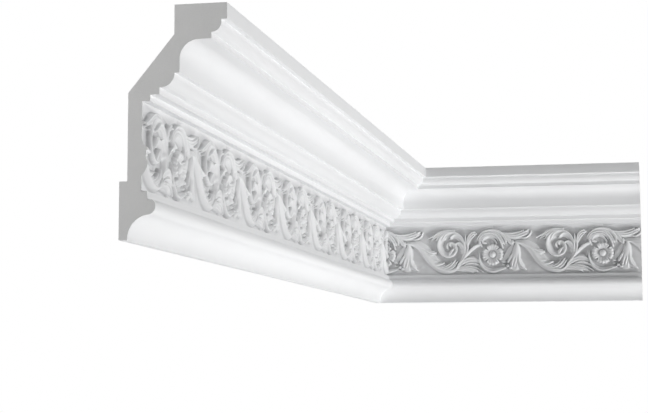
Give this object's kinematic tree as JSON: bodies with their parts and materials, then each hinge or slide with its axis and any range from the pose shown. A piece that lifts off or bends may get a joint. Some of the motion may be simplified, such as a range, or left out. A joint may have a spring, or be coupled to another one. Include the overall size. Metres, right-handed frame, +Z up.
{
  "type": "cornice moulding",
  "caption": "Deep cornice moulding with a scrolling leaf and flower frieze, mitred through the inner corner of a room, with a sloped back that leaves a cable space.",
  "frame": {"origin": "the inner corner of the room at the moulding's lower edge, where both glued wall faces meet the underside", "axes": "+X along the short length away from the corner, -Y along the long length away from the corner, +Z up to the ceiling"},
  "size_m": [0.378, 1.122, 0.184],
  "materials": {
    "primed_foam": "factory primed, matt white"
  },
  "bodies": {
    "root": {"long_length": "primed_foam", "short_length": "primed_foam"}
  },
  "joints": []
}
